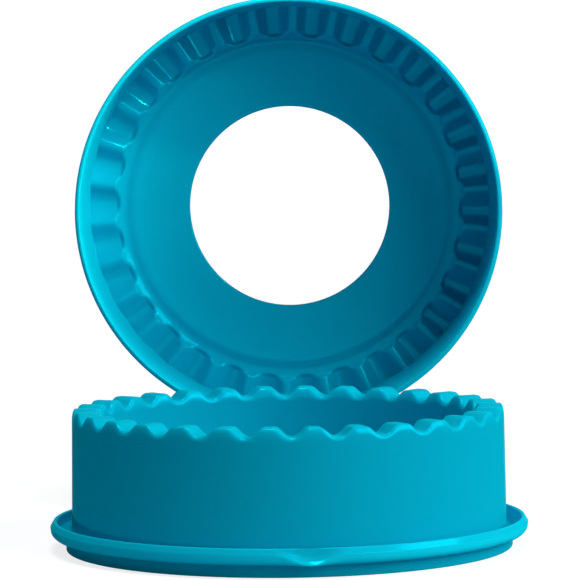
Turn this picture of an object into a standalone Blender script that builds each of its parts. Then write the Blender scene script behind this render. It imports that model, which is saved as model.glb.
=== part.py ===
"""Round sandwich cutter and sealer: a toothed base in a saucer, and a ring-shaped press stood up behind it."""

import bmesh
import bpy
from collections import namedtuple
from math import cos, pi, radians, sin

# Sealing base: pocket, wall and toothed crown
wall_top_radius = 0.04485
wall_draft = 0.0003
wall_thickness = 0.0016
crown_width = 0.00595
crown_thickness = 0.003
crest_height = 0.02915
tooth_depth = 0.0019
tooth_count = 30
tooth_fullness_share = 0.3
first_crest_turn = 7.6
outer_shoulder_width = 0.0009
outer_shoulder_drop = 0.0022
inner_shoulder_width = 0.0014
inner_shoulder_drop = 0.0024
pocket_fillet = 0.0012
floor_height = 0.0032
floor_thickness = 0.0016
channel_fillet = 0.0008

# Saucer round the wall's foot, with its trough, lip, thumb scoop and foot ring
trough_height = 0.004
trough_width = 0.00305
trough_fillet = 0.0009
lip_thickness = 0.00145
lip_rise = 0.0021
lip_inner_edge = 0.0003
lip_outer_edge = 0.0005
lip_side_drop = 0.0009
saucer_width = 0.00285
foot_step = 0.0004
foot_width = 0.0016
foot_height = 0.0024
foot_edge = 0.0003
scoop_turn = 5.5
scoop_half_turn = 8.5
scoop_inward = 0.0006
scoop_drop = 0.0015

# Cutter press, in heights above its cutting rim and above its fluted land
rim_gap = 0.0007
rim_edge = 0.0002
rim_round_width = 0.0006
rim_round_height = 0.001
rim_width = 0.0011
skirt_top_gap = 0.0008
skirt_middle_height = 0.0105
skirt_middle_share = 0.1
skirt_corner = 0.0016
flute_overhang = 0.0005
flute_end_width = 0.0017
flute_end_rise = 0.0005
crease_width = 0.001
crease_rise = 0.0009
bead_width = 0.0019
bead_rise = 0.0006
dish_edge_width = 0.0018
dish_edge_rise = 0.001
dish_middle_share = 0.523
dish_middle_rise = 0.0017
hole_radius = 0.0228
hole_edge = 0.0003
hole_rise = 0.002
press_thickness = 0.0037
press_draft = 0.00035
press_brow_width = 0.00465
press_brow_drop = 0.0006
press_side_drop = 0.0034

# How the press sits on the base when it is closed, and where it stands in the set
seat_gap = 0.0003
mesh_gap = 0.0004
closed_play = 0.00025
press_stand_gap = 0.00455
press_stand_lift = 0.0195

# Facets
fine_count = 180
plain_count = 90
hidden_count = 60
arc_steps = 3

# Places that follow from the sizes of the base
pocket_radius = wall_top_radius - crown_width
wall_foot_radius = wall_top_radius + wall_draft
crown_height = crest_height - tooth_depth / 2
channel_top_height = crown_height - crown_thickness
lip_inner_radius = wall_foot_radius + trough_width
lip_radius = lip_inner_radius + lip_thickness
lip_height = trough_height + lip_rise
lip_side_height = lip_height - lip_side_drop
saucer_foot_radius = lip_radius - saucer_width
foot_radius = saucer_foot_radius - foot_step
foot_inner_radius = foot_radius - foot_width

# Places of the press that follow from the base that it closes on
rim_radius = lip_inner_radius - rim_gap
skirt_foot_radius = rim_radius - rim_width
skirt_top_radius = wall_top_radius + skirt_top_gap
skirt_middle_radius = skirt_foot_radius + (skirt_top_radius - skirt_foot_radius) * skirt_middle_share
closed_rim_height = trough_height + seat_gap
land_height = crown_height + mesh_gap - closed_rim_height
flute_end_radius = pocket_radius - flute_overhang
crease_radius = flute_end_radius - crease_width
bead_radius = crease_radius - bead_width
dish_edge_radius = bead_radius - dish_edge_width
dish_middle_radius = hole_radius + (dish_edge_radius - hole_radius) * dish_middle_share
press_height = land_height + press_thickness
press_side_radius = rim_radius - press_draft
press_side_height = press_height - press_side_drop
press_brow_radius = press_side_radius - press_brow_width
press_brow_height = press_height - press_brow_drop

# Places of the press in the set, and the pivot that turns it from standing to closed
press_stand_back = lip_radius + press_stand_gap
press_stand_height = rim_radius + press_stand_lift
pivot_height = (closed_rim_height - press_stand_back + press_stand_height - closed_play) / 2
pivot_back = press_stand_height - pivot_height - closed_play
set_back = press_stand_back + press_height
base_axis_y = (lip_radius - set_back) / 2

Row = namedtuple("Row", "radius height wave scoop count", defaults=(0, 0, plain_count))


def tooth_wave(angle):
    """Height of the tooth wave at an angle round the axis, 1 on a crest and -1 in a valley."""
    phase = tooth_count * (angle - radians(first_crest_turn))
    return cos(phase) + tooth_fullness_share * sin(phase) ** 2


def scoop_depth(angle):
    """Share of the thumb scoop at an angle round the axis, 1 at its middle and 0 outside it."""
    turn = (angle - radians(scoop_turn) + pi) % (2 * pi) - pi
    half = radians(scoop_half_turn)
    return (1 + cos(pi * turn / half)) / 2 if abs(turn) < half else 0


def arc(radius, height, reach, rise, start, end, scoops=(0, 0), count=plain_count):
    """Rows along an elliptical arc about (radius, height), between two angles in degrees."""
    rows = []
    for step in range(arc_steps + 1):
        share = step / arc_steps
        turn = radians(start + (end - start) * share)
        scoop = scoops[0] + (scoops[1] - scoops[0]) * share
        rows.append(Row(radius + reach * cos(turn), height + rise * sin(turn), 0, scoop, count))
    return rows


def shoulder(edge_radius, width, drop, start, end):
    """Rows over a rounded edge of the crown, where the tooth wave fades into a plain wall."""
    rows = []
    for step in range(arc_steps + 1):
        turn = radians(start + (end - start) * step / arc_steps)
        radius = edge_radius + width * (1 - cos(turn))
        rows.append(Row(radius, crown_height - drop * (1 - sin(turn)), sin(turn), 0, fine_count))
    return rows


def ring(bm, row):
    """Points of one row, set round the axis and moved by the tooth wave and the thumb scoop."""
    points = []
    for step in range(row.count):
        angle = radians(first_crest_turn) + 2 * pi * step / row.count
        scooped = row.scoop * scoop_depth(angle)
        radius = row.radius - scoop_inward * scooped
        height = row.height + tooth_depth / 2 * row.wave * tooth_wave(angle) - scoop_drop * scooped
        points.append(bm.verts.new((radius * sin(angle), -radius * cos(angle), height)))
    return points


def bridge(bm, first, second):
    """Faces between two rings, walking round both together, so that their counts may differ."""
    near, far = 0, 0
    while near < len(first) or far < len(second):
        corner, opposite = first[near % len(first)], second[far % len(second)]
        lead = (near + 1) * len(second) - (far + 1) * len(first)
        near += lead <= 0
        far += lead >= 0
        outline = [corner, first[near % len(first)], second[far % len(second)], opposite]
        bm.faces.new(list(dict.fromkeys(outline)))


def turned_solid(name, rows, axis_heights=None):
    """Closed solid turned about the Z axis from rows; axis_heights caps both ends on the axis."""
    bm = bmesh.new()
    rings = [ring(bm, row) for row in rows]
    for first, second in zip(rings, rings[1:]):
        bridge(bm, first, second)
    if axis_heights is None:
        bridge(bm, rings[-1], rings[0])
    else:
        for end, height in zip((rings[0], rings[-1]), axis_heights):
            middle = bm.verts.new((0, 0, height))
            for index, point in enumerate(end):
                bm.faces.new((middle, point, end[(index + 1) % len(end)]))
    bmesh.ops.recalc_face_normals(bm, faces=bm.faces)
    mesh = bpy.data.meshes.new(name)
    bm.to_mesh(mesh)
    bm.free()
    mesh.shade_smooth()
    mesh.set_sharp_from_angle(angle=radians(38))
    solid = bpy.data.objects.new(name, mesh)
    bpy.context.scene.collection.objects.link(solid)
    return solid


def moulded_plastic(name):
    """Glossy turquoise plastic."""
    material = bpy.data.materials.new(name)
    material.use_nodes = True
    shader = material.node_tree.nodes["Principled BSDF"]
    shader.inputs["Base Color"].default_value = (0, 0.42, 0.62, 1)
    shader.inputs["Roughness"].default_value = 0.25
    return material


def base_rows():
    """Rows of the base: pocket floor, pocket wall, crown, wall, trough, lip, saucer, foot, underside."""
    channel_outer_radius = wall_foot_radius - wall_thickness
    channel_inner_radius = pocket_radius + wall_thickness
    under_height = trough_height - wall_thickness
    rows = arc(pocket_radius - pocket_fillet, floor_height + pocket_fillet, pocket_fillet, pocket_fillet, -90, 0)
    rows += shoulder(pocket_radius, inner_shoulder_width, inner_shoulder_drop, 0, 90)
    rows += shoulder(wall_top_radius, -outer_shoulder_width, outer_shoulder_drop, 90, 0)
    rows += arc(wall_foot_radius + trough_fillet, trough_height + trough_fillet, -trough_fillet, -trough_fillet, 0, 90)
    rows.append(Row(lip_inner_radius - lip_inner_edge, trough_height))
    rows.append(Row(lip_inner_radius, trough_height + lip_inner_edge))
    rows.append(Row(lip_inner_radius, lip_height - lip_inner_edge))
    rows.append(Row(lip_inner_radius + lip_inner_edge, lip_height, 0, 0, fine_count))
    rows += arc(lip_radius - lip_outer_edge, lip_height - lip_outer_edge, lip_outer_edge, lip_outer_edge,
                90, 0, (1, 1), fine_count)
    rows += arc(saucer_foot_radius, lip_side_height, lip_radius - saucer_foot_radius,
                foot_height - lip_side_height, 0, 90, (1, 0), fine_count)
    rows.append(Row(foot_radius, foot_height - foot_edge))
    rows.append(Row(foot_radius, foot_edge))
    rows.append(Row(foot_radius - foot_edge, 0))
    under = [
        (foot_inner_radius + foot_edge, 0),
        (foot_inner_radius, foot_edge),
        (foot_inner_radius, under_height),
        (channel_outer_radius, under_height),
        (wall_top_radius - wall_thickness, channel_top_height - channel_fillet),
        (wall_top_radius - wall_thickness - channel_fillet, channel_top_height),
        (channel_inner_radius + channel_fillet, channel_top_height),
        (channel_inner_radius, channel_top_height - channel_fillet),
        (channel_inner_radius, floor_height - floor_thickness),
    ]
    rows += [Row(radius, height, 0, 0, hidden_count) for radius, height in under]
    return rows


def press_rows():
    """Rows of the press: cutting rim, skirt inside, fluted land, dish, hole, back, skirt outside."""
    rows = [Row(rim_radius - rim_edge, 0)]
    rows += arc(skirt_foot_radius + rim_round_width, rim_round_height, -rim_round_width, -rim_round_height, 90, 0)
    rows += [
        Row(skirt_middle_radius, skirt_middle_height),
        Row(skirt_top_radius, land_height - skirt_corner),
        Row(skirt_top_radius, land_height, 1, 0, fine_count),
        Row(flute_end_radius + flute_end_width, land_height, 1, 0, fine_count),
        Row(flute_end_radius + flute_end_width / 2, land_height + flute_end_rise / 2, 1 / 2, 0, fine_count),
        Row(flute_end_radius, land_height + flute_end_rise, 0, 0, fine_count),
        Row(crease_radius, land_height + crease_rise),
        Row(bead_radius, land_height + bead_rise),
        Row(dish_edge_radius, land_height + dish_edge_rise),
        Row(dish_middle_radius, land_height + dish_middle_rise),
        Row(hole_radius + hole_edge, land_height + hole_rise),
        Row(hole_radius, land_height + hole_rise + hole_edge),
        Row(hole_radius, press_height - hole_edge),
        Row(hole_radius + hole_edge, press_height),
        Row(press_brow_radius, press_brow_height),
    ]
    rows += arc(press_brow_radius, press_side_height, press_side_radius - press_brow_radius,
                press_brow_height - press_side_height, 60, 0)
    rows.append(Row(rim_radius, rim_edge))
    return rows


for leftover in list(bpy.data.objects):
    bpy.data.objects.remove(leftover)

base = turned_solid("sealing_base", base_rows(), (floor_height, floor_height - floor_thickness))
base.data.materials.append(moulded_plastic("base_plastic"))
base.location = (0, base_axis_y, 0)

press = turned_solid("cutter_press", press_rows())
press.data.materials.append(moulded_plastic("press_plastic"))
for vertex in press.data.vertices:
    vertex.co.y -= closed_play + pivot_back
    vertex.co.z += closed_rim_height - pivot_height

press_hinge = bpy.data.objects.new("press_hinge", None)
bpy.context.scene.collection.objects.link(press_hinge)
press_hinge.location = (0, base_axis_y + pivot_back, pivot_height)
press_hinge.rotation_euler = (radians(-90), 0, 0)
press.parent = press_hinge
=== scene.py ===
"""Looks of a round sandwich cutter and sealer: a toothed base in a saucer, and the press behind it.

Lengths are in metres and angles in radians, unless a name says degrees.
"""

import logging
from dataclasses import dataclass, field
from enum import Enum
from math import atan2, cos, hypot, pi, radians, sin, tau

import bmesh
import bpy
from mathutils import Matrix, Vector


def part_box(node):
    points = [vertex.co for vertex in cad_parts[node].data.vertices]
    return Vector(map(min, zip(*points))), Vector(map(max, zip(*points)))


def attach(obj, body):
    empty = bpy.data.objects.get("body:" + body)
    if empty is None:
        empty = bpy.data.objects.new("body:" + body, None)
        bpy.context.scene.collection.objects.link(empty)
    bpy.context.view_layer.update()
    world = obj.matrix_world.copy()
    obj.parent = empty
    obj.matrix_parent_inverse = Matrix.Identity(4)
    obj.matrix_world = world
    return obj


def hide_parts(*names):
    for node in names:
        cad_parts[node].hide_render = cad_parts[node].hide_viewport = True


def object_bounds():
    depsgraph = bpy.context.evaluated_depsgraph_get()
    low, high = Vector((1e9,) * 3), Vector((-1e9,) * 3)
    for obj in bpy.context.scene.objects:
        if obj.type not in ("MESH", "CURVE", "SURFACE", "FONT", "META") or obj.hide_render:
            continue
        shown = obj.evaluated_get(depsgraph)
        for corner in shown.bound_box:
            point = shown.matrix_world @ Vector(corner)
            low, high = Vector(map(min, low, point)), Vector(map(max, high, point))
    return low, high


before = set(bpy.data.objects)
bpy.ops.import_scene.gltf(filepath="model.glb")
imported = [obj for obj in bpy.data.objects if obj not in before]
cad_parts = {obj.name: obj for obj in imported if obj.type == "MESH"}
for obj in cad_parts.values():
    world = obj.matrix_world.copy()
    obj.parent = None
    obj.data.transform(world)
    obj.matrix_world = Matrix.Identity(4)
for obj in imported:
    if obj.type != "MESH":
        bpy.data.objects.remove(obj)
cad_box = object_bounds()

log = logging.getLogger("sandwich_cutter")

MERGE_DISTANCE = 1e-7
# Vertex layer with the share of painted light: a paler colour painted on thin edges, standing in for the
# light on them.
PAINTED_LIGHT_LAYER = "painted_light"
PICTURE_WIDTH = 580
WHITE = (1.0, 1.0, 1.0, 1.0)
SPOT_TINT = (1.0, 1.0, 0.8)
# From the middle of the set to the left side of the standing press, which both spots face
PRESS_LEFT_SIDE = (-0.052, 0.03, 0.037)

Colour = tuple[float, float, float, float]
Tint = tuple[float, float, float]


class Ray(Enum):
    """Outputs of the Light Path node for the rays that see the pale background."""

    CAMERA = "Is Camera Ray"
    GLOSSY = "Is Glossy Ray"
    TRANSMISSION = "Is Transmission Ray"


class Body(Enum):
    """Bodies of the set, with the CAD node and the material slot of each."""

    BASE = ("base", "sealing_base", "base_plastic")
    PRESS = ("press", "cutter_press", "press_plastic")

    def __init__(self, body: str, node: str, slot: str) -> None:
        """Names the three parts of a member's value.

        Args:
            body: Name of the body itself.
            node: Name of the CAD node that the body carries.
            slot: Name of the body's material slot; not used.
        """
        self.body = body
        self.node = node
        self.slot = slot


class NodeGraph:
    """Short way to add and join shader nodes."""

    def __init__(self, tree: bpy.types.NodeTree) -> None:
        """Starts on the node tree of a material or a world, and empties it."""
        self.tree = tree
        tree.nodes.clear()

    def add(self, kind: str, settings: dict | None = None, **inputs: object) -> bpy.types.Node:
        """Adds a node and fills its inputs.

        Args:
            kind: Blender's type name of the node.
            settings: Attributes of the node itself.
            inputs: Values, or sockets to join, by input name with underscores for spaces.

        Returns:
            The new node.
        """
        node = self.tree.nodes.new(kind)
        for name, value in (settings or {}).items():
            setattr(node, name, value)
        for name, value in inputs.items():
            socket = node.inputs[name.replace("_", " ")]
            if isinstance(value, bpy.types.NodeSocket):
                self.tree.links.new(value, socket)
            else:
                socket.default_value = value
        return node

    def scaled(self, value: bpy.types.NodeSocket, low: float, high: float) -> bpy.types.NodeSocket:
        """Spreads a 0 to 1 pattern over the range from low to high, and returns its new socket."""
        node = self.add("ShaderNodeMapRange", Value=value, To_Min=low, To_Max=high)
        return node.outputs["Result"]

    def mixed(self, share: bpy.types.NodeSocket, first: object, second: object) -> bpy.types.NodeSocket:
        """Mixes two colours.

        Args:
            share: Socket with the share of the second colour.
            first: A colour, or the socket of one.
            second: A colour, or the socket of one.

        Returns:
            Socket with the mixed colour.
        """
        node = self.add("ShaderNodeMix", {"data_type": "RGBA"}, Factor=share)
        inputs = [socket for socket in node.inputs if socket.type == "RGBA"]
        for socket, colour in zip(inputs, (first, second)):
            if isinstance(colour, bpy.types.NodeSocket):
                self.tree.links.new(colour, socket)
            else:
                socket.default_value = colour
        return next(socket for socket in node.outputs if socket.type == "RGBA")

    def background_share(self) -> bpy.types.NodeSocket:
        """Adds the test for rays that see the background.

        Returns:
            Socket that is 1 on camera, glossy and transmission rays.
        """
        path = self.add("ShaderNodeLightPath")
        share = path.outputs[Ray.CAMERA.value]
        for ray in (Ray.GLOSSY, Ray.TRANSMISSION):
            highest = self.add("ShaderNodeMath", {"operation": "MAXIMUM"})
            self.tree.links.new(share, highest.inputs[0])
            self.tree.links.new(path.outputs[ray.value], highest.inputs[1])
            share = highest.outputs[0]
        return share


@dataclass(frozen=True)
class Mottle:
    """One noise pattern on a moulding's surface."""

    scale: float
    detail: float
    roughness: float

    def add_to(self, graph: NodeGraph, place: bpy.types.NodeSocket) -> bpy.types.NodeSocket:
        """Adds the pattern to a material.

        Args:
            graph: Graph to add the node to.
            place: Socket with the coordinates that the pattern lies on.

        Returns:
            Socket with the pattern, from 0 to 1.
        """
        noise = graph.add("ShaderNodeTexNoise", Vector=place, Scale=self.scale, Detail=self.detail,
                          Roughness=self.roughness)
        return noise.outputs["Fac"]


@dataclass(frozen=True)
class MouldedPlastic:
    """Glossy plastic, coloured all through, slightly uneven, with painted light: a paler colour on its thin
    edges.
    """

    name: str
    colour: Colour = (0.001, 0.46, 0.655, 1.0)
    deep_colour: Colour = (0.001, 0.44, 0.635, 1.0)
    # Paler colour painted where the painted-light layer is high, standing in for light on thin edges.
    painted_light_colour: Colour = (0.004, 0.76, 0.96, 1.0)
    tinted_gloss: float = 0.09
    edge_gloss: Colour = (0.0, 0.8, 0.9, 1.0)
    glow_share: float = 0.5
    glow_reach: float = 0.0016
    glow_tint: Tint = (0.1, 0.8, 1.0)
    smoothest: float = 0.09
    roughest: float = 0.15
    clouding: Mottle = Mottle(scale=55.0, detail=3.0, roughness=0.5)
    grain: Mottle = Mottle(scale=1400.0, detail=2.0, roughness=0.6)
    sinks: Mottle = Mottle(scale=38.0, detail=1.0, roughness=0.4)
    scuffs: Mottle = Mottle(scale=420.0, detail=6.0, roughness=0.7)
    grain_depth: float = 0.000004
    sink_depth: float = 0.00006

    def material(self) -> bpy.types.Material:
        """Makes the material.

        Returns:
            A new material whose patterns lie on object coordinates.
        """
        material = bpy.data.materials.new(self.name)
        material.use_nodes = True
        graph = NodeGraph(material.node_tree)
        place = graph.add("ShaderNodeTexCoord").outputs["Object"]
        clouding = self.clouding.add_to(graph, place)
        grain = self.grain.add_to(graph, place)
        sinks = self.sinks.add_to(graph, place)
        scuffs = self.scuffs.add_to(graph, place)
        # Painted light: the body colour turns paler where the painted-light layer is high.
        painted_light = graph.add("ShaderNodeAttribute", {"attribute_name": PAINTED_LIGHT_LAYER}).outputs["Fac"]
        body_colour = graph.mixed(clouding, self.deep_colour, self.colour)
        colour = graph.mixed(painted_light, body_colour, self.painted_light_colour)
        roughness = graph.scaled(scuffs, self.smoothest, self.roughest)
        broad = graph.add("ShaderNodeBump", Height=sinks, Strength=1.0, Distance=self.sink_depth)
        fine = graph.add("ShaderNodeBump", Height=grain, Strength=1.0, Distance=self.grain_depth,
                         Normal=broad.outputs["Normal"])
        shader = graph.add("ShaderNodeBsdfPrincipled", Base_Color=colour, Roughness=roughness,
                           Normal=fine.outputs["Normal"], Metallic=self.tinted_gloss, Specular_IOR_Level=0.0,
                           Specular_Tint=self.edge_gloss, Subsurface_Weight=self.glow_share,
                           Subsurface_Radius=self.glow_tint, Subsurface_Scale=self.glow_reach)
        graph.add("ShaderNodeOutputMaterial", Surface=shader.outputs["BSDF"])
        return material


@dataclass(frozen=True)
class CoveWhite:
    """Matt white of the floor and backdrop, which glows where it is seen and keeps the set's shadow."""

    name: str = "cove_white"
    colour: Colour = (0.26, 0.32, 0.42, 1.0)
    shown_colour: Colour = (0.4, 0.4, 0.4, 1.0)
    near_glow: float = 0.8
    far_glow: float = 1.0
    near_radius: float = 0.15
    far_radius: float = 0.6

    def material(self) -> bpy.types.Material:
        """Makes the material.

        Returns:
            A new material whose glow grows from the middle of the floor outwards.
        """
        material = bpy.data.materials.new(self.name)
        material.use_nodes = True
        graph = NodeGraph(material.node_tree)
        plain = graph.add("ShaderNodeBsdfDiffuse", Color=self.colour)
        shown = graph.add("ShaderNodeBsdfDiffuse", Color=self.shown_colour)
        place = graph.add("ShaderNodeTexCoord").outputs["Object"]
        radius = graph.add("ShaderNodeVectorMath", {"operation": "LENGTH"}, Vector=place)
        strength = graph.add("ShaderNodeMapRange", Value=radius.outputs["Value"], From_Min=self.near_radius,
                             From_Max=self.far_radius, To_Min=self.near_glow, To_Max=self.far_glow)
        glow = graph.add("ShaderNodeEmission", Strength=strength.outputs["Result"])
        both = graph.add("ShaderNodeAddShader")
        graph.tree.links.new(shown.outputs[0], both.inputs[0])
        graph.tree.links.new(glow.outputs[0], both.inputs[1])
        mix = graph.add("ShaderNodeMixShader", Fac=graph.background_share())
        graph.tree.links.new(plain.outputs[0], mix.inputs[1])
        graph.tree.links.new(both.outputs[0], mix.inputs[2])
        graph.add("ShaderNodeOutputMaterial", Surface=mix.outputs[0])
        return material


@dataclass(frozen=True)
class Corner:
    """One corner of a turned outline."""

    radius: float
    height: float
    rounding: float = 0.0
    steps: int = 4


def arc(middle: Corner, reach: float, rise: float, start_degrees: float, end_degrees: float,
        steps: int) -> list[Corner]:
    """Places corners along an elliptical arc.

    Args:
        middle: Middle of the ellipse.
        reach: Half width of the ellipse, away from the axis.
        rise: Half height of the ellipse, negative where the arc runs below its middle.
        start_degrees: First angle, from the outward direction.
        end_degrees: Last angle.
        steps: Number of straight runs along the arc.

    Returns:
        The corners from the first angle to the last.
    """
    sweep = end_degrees - start_degrees
    turns = [radians(start_degrees + sweep * step / steps) for step in range(steps + 1)]
    return [Corner(middle.radius + reach * cos(turn), middle.height + rise * sin(turn)) for turn in turns]


@dataclass(frozen=True)
class ToothWave:
    """Wave round the crown of the base, or the matching one in the fluted land of the press."""

    fullness_share: float
    squareness_share: float = 0.0
    count: int = 30
    depth: float = 0.0019
    first_crest: float = radians(7.6)
    steps_per_tooth: int = 24

    def lift(self, angle: float) -> float:
        """Works out the height of the wave above its middle level.

        Args:
            angle: Angle round the axis, from the front towards +X.

        Returns:
            The height in metres.
        """
        phase = self.count * (angle - self.first_crest)
        squared = (cos(phase) - self.squareness_share * cos(3 * phase)) / (1 - self.squareness_share)
        return self.depth / 2 * (squared + self.fullness_share * sin(phase) ** 2)


@dataclass
class TurnedMoulding:
    """A moulding turned about its own axis from an outline and dressed in one plastic."""

    body: Body
    name: str
    wave: ToothWave
    finish: MouldedPlastic
    sharp_angle: float = radians(40)
    low: Vector = field(init=False)
    high: Vector = field(init=False)

    def __post_init__(self) -> None:
        """Takes the box of the CAD node, which gives the moulding's radius, height and axis."""
        self.low, self.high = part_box(self.body.node)

    def corners(self) -> list[Corner]:
        """Outline of the moulding, from its visible face round to its hidden side."""
        raise NotImplementedError

    def shape(self, point: Vector, angle: float, radius: float) -> None:
        """Moves one point, given in the moulding's own axes, off the plain round."""
        raise NotImplementedError

    def painted_light(self, point: Vector, radius: float) -> float:
        """Tells how much painted light, a paler colour standing in for light on thin edges, lies at one
        point, cut off past 0 and 1.
        """
        raise NotImplementedError

    def seat(self) -> Matrix:
        """Place of the moulding's own axes in the set."""
        raise NotImplementedError

    def outline(self, bm: bmesh.types.BMesh) -> list[bmesh.types.BMVert | bmesh.types.BMEdge]:
        """Draws the outline through the first crest and rounds its corners.

        Args:
            bm: Mesh to draw in.

        Returns:
            Every vertex and edge of the outline.
        """
        outward = Vector((sin(self.wave.first_crest), -cos(self.wave.first_crest), 0))
        corners = self.corners()
        points = [bm.verts.new(outward * corner.radius + Vector((0, 0, corner.height))) for corner in corners]
        for first, second in zip(points, points[1:]):
            bm.edges.new((first, second))
        closed = corners[0].radius > 0 and corners[-1].radius > 0
        if closed:
            bm.edges.new((points[-1], points[0]))
        for point, corner in zip(points, corners):
            if corner.rounding:
                bmesh.ops.bevel(bm, geom=[point], offset=corner.rounding, offset_type="OFFSET",
                                affect="VERTICES", segments=corner.steps, profile=0.5, material=-1)
        return bm.verts[:] + bm.edges[:]

    def turn(self, bm: bmesh.types.BMesh) -> None:
        """Turns the outline through one tooth and repeats that wedge round the axis.

        Args:
            bm: Empty mesh to fill.
        """
        pitch = tau / self.wave.count
        bmesh.ops.spin(bm, geom=self.outline(bm), cent=(0, 0, 0), axis=(0, 0, 1), angle=pitch,
                       steps=self.wave.steps_per_tooth)
        wedge = bm.verts[:] + bm.edges[:] + bm.faces[:]
        for tooth in range(1, self.wave.count):
            copied = bmesh.ops.duplicate(bm, geom=wedge)["geom"]
            verts = [part for part in copied if isinstance(part, bmesh.types.BMVert)]
            bmesh.ops.rotate(bm, verts=verts, cent=(0, 0, 0), matrix=Matrix.Rotation(pitch * tooth, 3, "Z"))
        bmesh.ops.remove_doubles(bm, verts=bm.verts, dist=MERGE_DISTANCE)

    def build(self) -> bpy.types.Object:
        """Turns the outline, shapes it, seats it in the set and dresses it.

        Returns:
            The finished piece.
        """
        bm = bmesh.new()
        self.turn(bm)
        # Painted light: each vertex carries the share of the paler colour painted on it.
        layer = bm.verts.layers.float.new(PAINTED_LIGHT_LAYER)
        for vert in bm.verts:
            radius = hypot(vert.co.x, vert.co.y)
            vert[layer] = min(1.0, max(0.0, self.painted_light(vert.co, radius)))
            self.shape(vert.co, atan2(vert.co.x, -vert.co.y), radius)
        bmesh.ops.recalc_face_normals(bm, faces=bm.faces)
        bmesh.ops.transform(bm, matrix=self.seat(), verts=bm.verts)
        mesh = bpy.data.meshes.new(self.name)
        bm.to_mesh(mesh)
        bm.free()
        mesh.shade_smooth()
        mesh.set_sharp_from_angle(angle=self.sharp_angle)
        mesh.materials.append(self.finish.material())
        piece = bpy.data.objects.new(self.name, mesh)
        bpy.context.scene.collection.objects.link(piece)
        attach(piece, self.body.body)
        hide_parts(self.body.node)
        return piece


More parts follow.
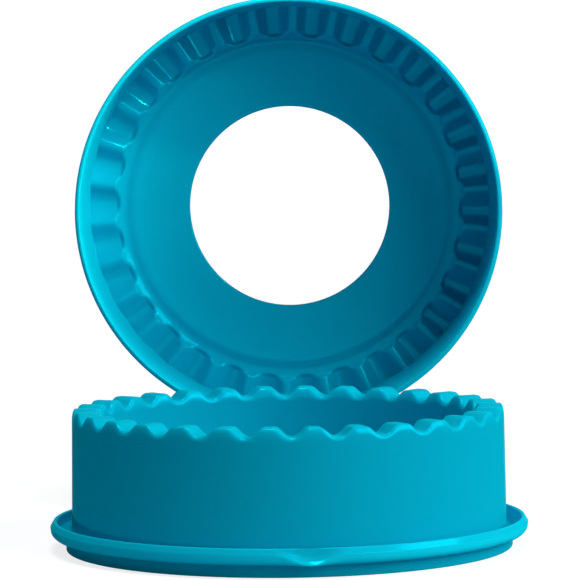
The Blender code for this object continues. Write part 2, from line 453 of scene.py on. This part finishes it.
@dataclass
class SealingBase(TurnedMoulding):
    """The base: a round pocket inside a toothed wall, standing in a shallow saucer with a thumb scoop."""

    wall_draft: float = 0.0003
    wall_thickness: float = 0.0016
    crown_width: float = 0.00595
    crown_thickness: float = 0.003
    outer_shoulder: tuple[float, float] = (0.0007, 0.0016)
    inner_shoulder: tuple[float, float] = (0.0009, 0.0016)
    shoulder_steps: int = 8
    tooth_fade: float = 0.002
    pocket_fillet: float = 0.0012
    fillet_steps: int = 6
    floor_height: float = 0.0032
    floor_thickness: float = 0.0016
    channel_fillet: float = 0.0008
    trough_height: float = 0.004
    trough_width: float = 0.00305
    trough_fillet: float = 0.0009
    lip_thickness: float = 0.00145
    lip_rise: float = 0.0021
    lip_inner_edge: float = 0.0003
    lip_bevel_width: float = 0.0007
    lip_bevel_height: float = 0.0012
    lip_bevel_edge: float = 0.0002
    lip_bevel_steps: int = 12
    saucer_side_height: float = 0.0042
    saucer_draft: float = 0.00008
    saucer_width: float = 0.00285
    saucer_steps: int = 12
    foot_step: float = 0.0004
    foot_width: float = 0.0016
    foot_height: float = 0.0024
    foot_edge: float = 0.0003
    scoop_turn: float = radians(5.5)
    scoop_half_turn: float = radians(8.5)
    scoop_width: float = 0.00115
    scoop_hollow: float = 3.0
    scoop_drop: float = 0.0019
    side_fade: float = 0.0009
    crest_fade: float = 0.0019
    # Shares of painted light, a paler colour on the crest, the lip's bevel and the lip's side.
    crest_painted_light: float = 0.14
    lip_painted_light: float = 0.3
    side_painted_light: float = 0.85

    @property
    def lip_radius(self) -> float:
        """Outer radius of the lip."""
        return (self.high.x - self.low.x) / 2

    @property
    def lip_inner_radius(self) -> float:
        """Inner radius of the lip."""
        return self.lip_radius - self.lip_thickness

    @property
    def wall_top_radius(self) -> float:
        """Outer radius of the wall under the crown."""
        return self.lip_inner_radius - self.trough_width - self.wall_draft

    @property
    def pocket_radius(self) -> float:
        """Inner radius of the pocket."""
        return self.wall_top_radius - self.crown_width

    @property
    def crown_height(self) -> float:
        """Middle level of the tooth wave."""
        return self.high.z - self.low.z - self.wave.depth / 2

    @property
    def lip_height(self) -> float:
        """Height of the lip's top."""
        return self.trough_height + self.lip_rise

    @property
    def lip_side_height(self) -> float:
        """Height of the lip's widest part, under its bevel."""
        return self.lip_height - self.lip_bevel_height

    def corners(self) -> list[Corner]:
        """Outline of the base: pocket, crown, wall, trough, lip, saucer, foot, underside and floor."""
        return self.pocket_corners() + self.crown_corners() + self.saucer_corners() + self.under_corners()

    def pocket_corners(self) -> list[Corner]:
        """Outline of the pocket's floor and the foot of its wall."""
        wall_foot = Corner(self.pocket_radius, self.floor_height, self.pocket_fillet, self.fillet_steps)
        return [Corner(0, self.floor_height), wall_foot]

    def crown_corners(self) -> list[Corner]:
        """Draws the outline over both rounded shoulders of the crown.

        Returns:
            The corners from the pocket's wall to the outside of the wall.
        """
        inner_width, inner_drop = self.inner_shoulder
        outer_width, outer_drop = self.outer_shoulder
        inner = Corner(self.pocket_radius + inner_width, self.crown_height - inner_drop)
        outer = Corner(self.wall_top_radius - outer_width, self.crown_height - outer_drop)
        foot_height = self.crown_height - self.tooth_fade
        steps = self.shoulder_steps
        return ([Corner(self.pocket_radius, foot_height)]
                + arc(inner, inner_width, inner_drop, 180, 90, steps)
                + arc(outer, outer_width, outer_drop, 90, 0, steps)
                + [Corner(self.wall_top_radius, foot_height)])

    def saucer_corners(self) -> list[Corner]:
        """Draws the outline of the trough, the lip and the saucer's rounded outside.

        Returns:
            The corners from the wall's foot to the saucer's foot.
        """
        side_height = self.saucer_side_height
        saucer_foot_radius = self.lip_radius - self.saucer_width
        wall_foot_radius = self.wall_top_radius + self.wall_draft
        corners = [
            Corner(wall_foot_radius, self.trough_height, self.trough_fillet, self.fillet_steps),
            Corner(self.lip_inner_radius, self.trough_height, self.lip_inner_edge),
            Corner(self.lip_inner_radius, self.lip_height, self.lip_inner_edge),
        ]
        for step in range(self.lip_bevel_steps + 1):
            share = step / self.lip_bevel_steps
            corners.append(Corner(self.lip_radius - self.lip_bevel_width * (1 - share),
                                  self.lip_height - self.lip_bevel_height * share,
                                  self.lip_bevel_edge if share in (0, 1) else 0))
        middle = Corner(saucer_foot_radius, side_height)
        reach = self.saucer_width - self.saucer_draft
        rise = self.foot_height - side_height
        return corners + arc(middle, reach, rise, 0, 90, self.saucer_steps)

    def under_corners(self) -> list[Corner]:
        """Draws the outline of the foot ring, the channel inside the wall and the floor's underside.

        Returns:
            The corners from the foot ring to the axis.
        """
        foot_radius = self.lip_radius - self.saucer_width - self.foot_step
        channel_top = self.crown_height - self.crown_thickness
        channel_outer = self.wall_top_radius - self.wall_thickness
        channel_inner = self.pocket_radius + self.wall_thickness
        under_height = self.trough_height - self.wall_thickness
        return [
            Corner(foot_radius, self.foot_height),
            Corner(foot_radius, 0, self.foot_edge),
            Corner(foot_radius - self.foot_width, 0, self.foot_edge),
            Corner(foot_radius - self.foot_width, under_height),
            Corner(channel_outer + self.wall_draft, under_height),
            Corner(channel_outer, channel_top, self.channel_fillet),
            Corner(channel_inner, channel_top, self.channel_fillet),
            Corner(channel_inner, self.floor_height - self.floor_thickness),
            Corner(0, self.floor_height - self.floor_thickness),
        ]

    def shape(self, point: Vector, angle: float, radius: float) -> None:
        """Lifts the crown by the tooth wave and presses the thumb scoop into the lip.

        Args:
            point: The point, in the base's own axes.
            angle: Its angle round the axis, from the front towards +X.
            radius: Its distance from the axis.
        """
        on_crown = self.pocket_radius - MERGE_DISTANCE < radius < self.wall_top_radius + MERGE_DISTANCE
        crown_share = 1 - (self.crown_height - point.z) / self.tooth_fade
        if on_crown and crown_share > 0:
            point.z += self.wave.lift(angle) * crown_share
        turn = (angle - self.scoop_turn + pi) % tau - pi
        if abs(turn) < self.scoop_half_turn:
            self.press_scoop(point, (1 + cos(pi * turn / self.scoop_half_turn)) / 2, radius)

    def press_scoop(self, point: Vector, depth_share: float, radius: float) -> None:
        """Moves one point of the lip into the scoop, which widens, hollows and lowers the bevel.

        The side under the bevel is pushed down with it and shrinks towards the saucer's foot.

        Args:
            point: The point to move.
            depth_share: Depth of the scoop at this turn, 1 at its middle.
            radius: Distance of the point from the axis.
        """
        if radius < self.lip_inner_radius + self.lip_inner_edge or point.z < self.foot_height:
            return
        drop = self.scoop_drop * depth_share
        if point.z < self.lip_side_height:
            share = (point.z - self.foot_height) / (self.lip_side_height - self.foot_height)
            point.z -= drop * share
            return
        share = (self.lip_height - point.z) / self.lip_bevel_height
        width = self.lip_bevel_width + (self.scoop_width - self.lip_bevel_width) * depth_share
        hollowed = width * (1 - share ** (1 + self.scoop_hollow * depth_share))
        inward = hollowed - self.lip_bevel_width * (1 - share)
        point.x -= inward * point.x / radius
        point.y -= inward * point.y / radius
        point.z -= drop * share

    def painted_light(self, point: Vector, radius: float) -> float:
        """Paints light as a paler colour on the crest of the crown and the lip, most of all on the lip's
        side.

        Args:
            point: The point, in the base's own axes.
            radius: Its distance from the axis.

        Returns:
            The share of painted light.
        """
        if radius > self.lip_inner_radius - MERGE_DISTANCE:
            if point.z > self.lip_side_height - MERGE_DISTANCE:
                return self.lip_painted_light
            return self.side_painted_light * min(1.0, (point.z - self.foot_height) / self.side_fade)
        if radius < self.pocket_radius - MERGE_DISTANCE:
            return 0.0
        return self.crest_painted_light * (1 - (self.crown_height - point.z) / self.crest_fade)

    def seat(self) -> Matrix:
        """Stands the base on its foot, on the CAD node's axis."""
        return Matrix.Translation((0, self.low.y + self.lip_radius, self.low.z))


@dataclass
class CutterPress(TurnedMoulding):
    """The press: a shallow cup with a cutting rim, a fluted land and a dished ring round its hole."""

    rim_outer_round: tuple[float, float] = (0.00085, 0.0009)
    rim_inner_round: tuple[float, float] = (0.0002, 0.0006)
    rim_width: float = 0.0011
    rim_steps: int = 8
    skirt_draft: float = 0.00075
    skirt_middle_height: float = 0.0105
    skirt_middle_share: float = 0.1
    skirt_corner: float = 0.0016
    skirt_edge: float = 0.0002
    flute_end_radius: float = 0.0384
    flute_end_width: float = 0.0017
    flute_end_rise: float = 0.0005
    flute_end_scallop: float = 0.0006
    flute_end_steps: int = 8
    crease_width: float = 0.001
    crease_rise: float = 0.0009
    bead_width: float = 0.0019
    bead_rise: float = 0.0005
    bead_rounding_share: float = 0.45
    dish_edge_width: float = 0.0018
    dish_edge_rise: float = 0.001
    dish_middle_share: float = 0.523
    dish_middle_rise: float = 0.0017
    hole_radius: float = 0.0228
    hole_edge: float = 0.0003
    hole_rise: float = 0.002
    thickness: float = 0.0037
    draft: float = 0.00035
    brow_width: float = 0.00465
    brow_drop: float = 0.0006
    brow_start_degrees: float = 60.0
    brow_steps: int = 8
    side_drop: float = 0.0034
    edge_fade: float = 0.0014
    # Share of painted light, a paler colour on the cutting rim.
    rim_painted_light: float = 0.45

    @property
    def rim_radius(self) -> float:
        """Outer radius of the cutting rim."""
        return (self.high.x - self.low.x) / 2

    @property
    def height(self) -> float:
        """Height of the press above its cutting rim."""
        return self.high.y - self.low.y

    @property
    def land_height(self) -> float:
        """Middle level of the fluted land."""
        return self.height - self.thickness

    def corners(self) -> list[Corner]:
        """Outline of the press: rim, skirt, land, dish, hole, back and outside."""
        return self.cup_corners() + self.back_corners()

    def cup_corners(self) -> list[Corner]:
        """Draws the outline of the open side.

        Returns:
            The corners from the cutting rim over the skirt, land and dish to the hole.
        """
        skirt_foot = self.rim_radius - self.rim_width
        skirt_top = skirt_foot - self.skirt_draft
        crease_radius = self.flute_end_radius - self.crease_width
        bead_radius = crease_radius - self.bead_width
        dish_edge_radius = bead_radius - self.dish_edge_width
        dish_middle_radius = self.hole_radius + (dish_edge_radius - self.hole_radius) * self.dish_middle_share
        bead_rounding = self.bead_width * self.bead_rounding_share
        dish_edge_rounding = self.dish_edge_width * self.bead_rounding_share
        land = self.land_height
        outer_width, outer_height = self.rim_outer_round
        inner_width, inner_height = self.rim_inner_round
        outer = Corner(self.rim_radius - outer_width, outer_height)
        inner = Corner(skirt_foot + inner_width, inner_height)
        return arc(outer, outer_width, -outer_height, 0, 90, self.rim_steps) + [
            *arc(inner, -inner_width, -inner_height, 90, 0, self.rim_steps),
            Corner(skirt_foot - self.skirt_draft * self.skirt_middle_share, self.skirt_middle_height),
            Corner(skirt_top, land - self.skirt_corner),
            Corner(skirt_top, land, self.skirt_edge),
            *self.flute_end_corners(),
            Corner(crease_radius, land + self.crease_rise, self.crease_width / 2),
            Corner(bead_radius, land + self.bead_rise, bead_rounding),
            Corner(dish_edge_radius, land + self.dish_edge_rise, dish_edge_rounding),
            Corner(dish_middle_radius, land + self.dish_middle_rise, self.dish_edge_width),
            Corner(self.hole_radius, land + self.hole_rise, self.hole_edge),
        ]

    def flute_end_corners(self) -> list[Corner]:
        """Draws the outline over the inner ends of the flutes, where they run out.

        Returns:
            The corners from the land inwards to the crease.
        """
        corners = []
        for step in range(self.flute_end_steps + 1):
            share = step / self.flute_end_steps
            corners.append(Corner(self.flute_end_radius + self.flute_end_width * (1 - share),
                                  self.land_height + self.flute_end_rise * share ** 2))
        return corners

    def back_corners(self) -> list[Corner]:
        """Draws the outline of the closed side.

        Returns:
            The corners from the hole over the back and the brow to the outside.
        """
        side_radius = self.rim_radius - self.draft
        brow_radius = side_radius - self.brow_width
        side_height = self.height - self.side_drop
        rise = self.side_drop - self.brow_drop
        corners = [
            Corner(self.hole_radius, self.height, self.hole_edge),
            Corner(brow_radius, self.height - self.brow_drop),
        ]
        brow = Corner(brow_radius, side_height)
        return corners + arc(brow, self.brow_width, rise, self.brow_start_degrees, 0, self.brow_steps)

    def shape(self, point: Vector, angle: float, radius: float) -> None:
        """Lifts the land by its own wave, which meshes with the crown's when the press is closed.

        Args:
            point: The point, in the press's own axes.
            angle: Its angle round the axis, from the front towards +X.
            radius: Its distance from the axis.
        """
        skirt_top = self.rim_radius - self.rim_width - self.skirt_draft
        in_band = self.flute_end_radius - MERGE_DISTANCE < radius < skirt_top + MERGE_DISTANCE
        lowest = self.land_height - self.skirt_corner / 2
        if in_band and lowest < point.z < self.land_height + self.flute_end_rise + MERGE_DISTANCE:
            lift = self.wave.lift(angle)
            inset = self.flute_end_scallop * (1 - lift * 2 / self.wave.depth) / 2
            share = (radius - self.flute_end_radius - inset) / (self.flute_end_width - self.flute_end_scallop)
            share = min(1.0, max(0.0, share))
            point.z += lift * share * share * (3 - 2 * share)

    def painted_light(self, point: Vector, radius: float) -> float:
        """Paints light as a paler colour on the cutting rim, fading away from its edge."""
        return self.rim_painted_light * (1 - point.z / self.edge_fade)

    def seat(self) -> Matrix:
        """Stands the press up behind the base, with its open side to the front."""
        middle_height = (self.low.z + self.high.z) / 2
        return Matrix.Translation((0, self.low.y, middle_height)) @ Matrix.Rotation(-pi / 2, 4, "X")


@dataclass(frozen=True)
class SoftBox:
    """A rectangular studio lamp, placed by its direction from the point that it faces."""

    name: str
    azimuth: float
    elevation: float
    distance: float
    size: tuple[float, float]
    power: float
    colour: Tint = (1.0, 1.0, 1.0)
    aside: tuple[float, float, float] = (0.0, 0.0, 0.0)
    spread: float = pi

    def place(self, middle: Vector) -> bpy.types.Object:
        """Hangs the lamp and turns it to the point that it faces.

        Args:
            middle: Middle of the set, which the lamp faces when nothing puts it aside.

        Returns:
            The lamp.
        """
        lamp = bpy.data.lights.new(self.name, "AREA")
        lamp.shape = "RECTANGLE"
        lamp.size, lamp.size_y = self.size
        lamp.energy = self.power
        lamp.color = self.colour
        lamp.spread = self.spread
        light = bpy.data.objects.new(self.name, lamp)
        level = cos(self.elevation)
        away = Vector((sin(self.azimuth) * level, -cos(self.azimuth) * level, sin(self.elevation)))
        light.location = middle + Vector(self.aside) + away * self.distance
        light.rotation_euler = away.to_track_quat("Z", "Y").to_euler()
        bpy.context.scene.collection.objects.link(light)
        log.info("lamp %s at %s", self.name, tuple(round(value, 3) for value in light.location))
        return light


@dataclass(frozen=True)
class Studio:
    """Plain pale studio: a seamless round cove, soft lamps and the camera."""

    axis_y: float
    cove_radius: float = 2.2
    cove_height: float = 2.4
    cove_fillet: float = 0.7
    cove_fillet_steps: int = 16
    cove_steps: int = 96
    cove_finish: CoveWhite = CoveWhite()
    camera_distance: float = 0.75417
    camera_height: float = 0.10546
    camera_azimuth: float = radians(0.7)
    camera_pitch: float = 0.0691
    camera_roll: float = 0.0124
    camera_aim: float = 0.00098
    focal_pixels: float = 3648.27
    sensor_width: float = 36.0
    fill_strength: float = 0.022
    fill_colour: Colour = (0.95, 1.0, 0.9, 1.0)
    lamps: tuple[SoftBox, ...] = (
        SoftBox("key_softbox", azimuth=radians(64), elevation=radians(25), distance=1.1, size=(1.2, 0.6),
                power=11.0, colour=(1.0, 1.0, 0.94)),
        SoftBox("top_softbox", azimuth=radians(-15), elevation=radians(79), distance=1.1, size=(0.45, 0.3),
                power=5.8),
        SoftBox("near_spot", azimuth=radians(30), elevation=radians(30), distance=0.5, size=(0.05, 0.05),
                power=0.0044, colour=SPOT_TINT, aside=PRESS_LEFT_SIDE, spread=radians(10)),
        SoftBox("far_spot", azimuth=radians(55), elevation=radians(38), distance=0.5, size=(0.05, 0.05),
                power=0.0135, colour=SPOT_TINT, aside=PRESS_LEFT_SIDE, spread=radians(10)),
    )

    def build_cove(self) -> bpy.types.Object:
        """Turns the floor and backdrop as one seamless sheet.

        Returns:
            The cove, marked as stage.
        """
        bm = bmesh.new()
        places = [(0, 0), (self.cove_radius, 0), (self.cove_radius, self.cove_height)]
        points = [bm.verts.new((radius, 0, height)) for radius, height in places]
        for first, second in zip(points, points[1:]):
            bm.edges.new((first, second))
        bmesh.ops.bevel(bm, geom=[points[1]], offset=self.cove_fillet, offset_type="OFFSET",
                        affect="VERTICES", segments=self.cove_fillet_steps, profile=0.5, material=-1)
        bmesh.ops.spin(bm, geom=bm.verts[:] + bm.edges[:], cent=(0, 0, 0), axis=(0, 0, 1), angle=tau,
                       steps=self.cove_steps, use_merge=True)
        bmesh.ops.remove_doubles(bm, verts=bm.verts, dist=MERGE_DISTANCE)
        mesh = bpy.data.meshes.new("cove")
        bm.to_mesh(mesh)
        bm.free()
        mesh.shade_smooth()
        mesh.materials.append(self.cove_finish.material())
        cove = bpy.data.objects.new("cove", mesh)
        bpy.context.scene.collection.objects.link(cove)
        return cove

    def build_world(self) -> bpy.types.World:
        """Makes the sky above the cove: white where it is seen, a low even fill where it lights.

        Returns:
            The world.
        """
        world = bpy.data.worlds.new("studio")
        world.use_nodes = True
        graph = NodeGraph(world.node_tree)
        fill = graph.add("ShaderNodeBackground", Color=self.fill_colour, Strength=self.fill_strength)
        white = graph.add("ShaderNodeBackground", Color=WHITE, Strength=1.0)
        mix = graph.add("ShaderNodeMixShader", Fac=graph.background_share())
        graph.tree.links.new(fill.outputs[0], mix.inputs[1])
        graph.tree.links.new(white.outputs[0], mix.inputs[2])
        graph.add("ShaderNodeOutputWorld", Surface=mix.outputs[0])
        bpy.context.scene.world = world
        return world

    def build_camera(self) -> bpy.types.Object:
        """Places the camera where the photograph was taken from.

        Returns:
            The scene's camera.
        """
        lens = bpy.data.cameras.new("camera")
        lens.sensor_width = self.sensor_width
        lens.lens = self.sensor_width * self.focal_pixels / PICTURE_WIDTH
        camera = bpy.data.objects.new("camera", lens)
        place = Vector((sin(self.camera_azimuth) * self.camera_distance,
                        self.axis_y - cos(self.camera_azimuth) * self.camera_distance, self.camera_height))
        turn = Matrix.Rotation(self.camera_azimuth - self.camera_aim, 4, "Z")
        tilt = Matrix.Rotation(pi / 2 - self.camera_pitch, 4, "X")
        roll = Matrix.Rotation(-self.camera_roll, 4, "Z")
        camera.matrix_world = Matrix.Translation(place) @ turn @ tilt @ roll
        bpy.context.scene.collection.objects.link(camera)
        bpy.context.scene.camera = camera
        log.info("camera at %s", tuple(round(value, 4) for value in place))
        return camera

    def build(self) -> None:
        """Sets up the cove, the world, the lamps and the camera."""
        self.build_cove()
        self.build_world()
        middle = (Vector(cad_box[0]) + Vector(cad_box[1])) / 2
        for lamp in self.lamps:
            lamp.place(middle)
        self.build_camera()


def main() -> None:
    """Builds the base, the press and the studio, and reports each piece."""
    logging.basicConfig(level=logging.INFO, format="%(name)s: %(message)s")
    bpy.context.scene.view_settings.view_transform = "Standard"
    crown_wave = ToothWave(fullness_share=0.3, squareness_share=0.08)
    land_wave = ToothWave(fullness_share=0.2)
    base = SealingBase(Body.BASE, "base_moulding", crown_wave, MouldedPlastic("base_plastic"))
    press = CutterPress(Body.PRESS, "press_moulding", land_wave, MouldedPlastic("press_plastic"))
    for moulding in (base, press):
        piece = moulding.build()
        log.info("%s: %d faces on body %s", piece.name, len(piece.data.polygons), moulding.body.body)
    Studio(axis_y=base.low.y + base.lip_radius).build()


if __name__ == "__main__":
    main()
